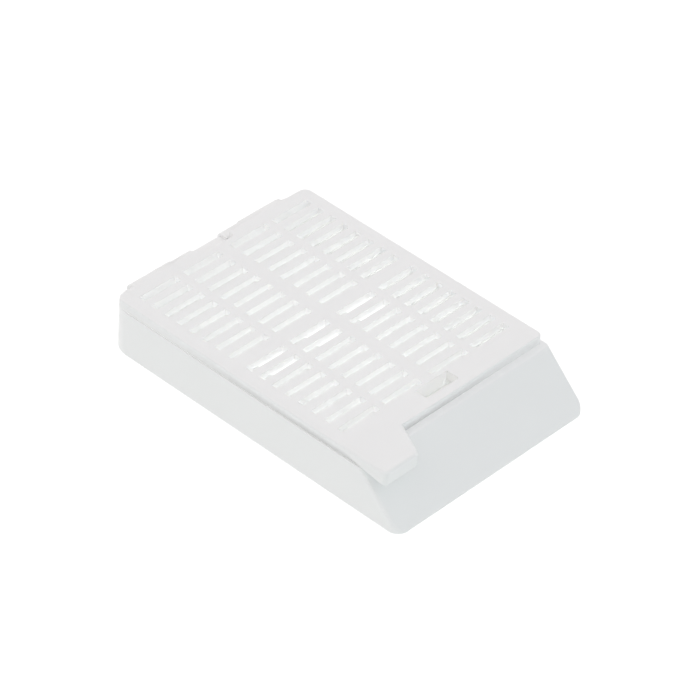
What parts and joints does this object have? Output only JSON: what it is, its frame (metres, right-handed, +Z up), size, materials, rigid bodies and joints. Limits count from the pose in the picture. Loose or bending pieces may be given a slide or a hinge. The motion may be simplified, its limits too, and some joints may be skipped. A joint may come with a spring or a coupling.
{
  "type": "tissue cassette",
  "caption": "Slotted white tray with a sloping writing face and a hinged slotted snap lid, for holding tissue samples through processing.",
  "frame": {"origin": "on the resting plane, under the middle of the closed cassette", "axes": "+Z up from the underside, +Y from the writing face towards the hinge straps, +X across"},
  "size_m": [0.0288, 0.0426, 0.0068],
  "materials": {
    "white_acetal": "moulded white acetal, satin, with a fine matte grain on the writing face"
  },
  "bodies": {
    "tray": {"base": "white_acetal", "hinge_strap_left": "white_acetal", "hinge_strap_right": "white_acetal"},
    "cover": {"lid": "white_acetal"}
  },
  "joints": [
    {"name": "lid_hinge", "type": "hinge", "parent": "tray", "child": "cover", "pos_m": [0, 0.02108, 0.00546], "axis": [-1, 0, 0], "range_deg": [0, 180], "deforming": ["hinge_strap_left", "hinge_strap_right"]}
  ]
}
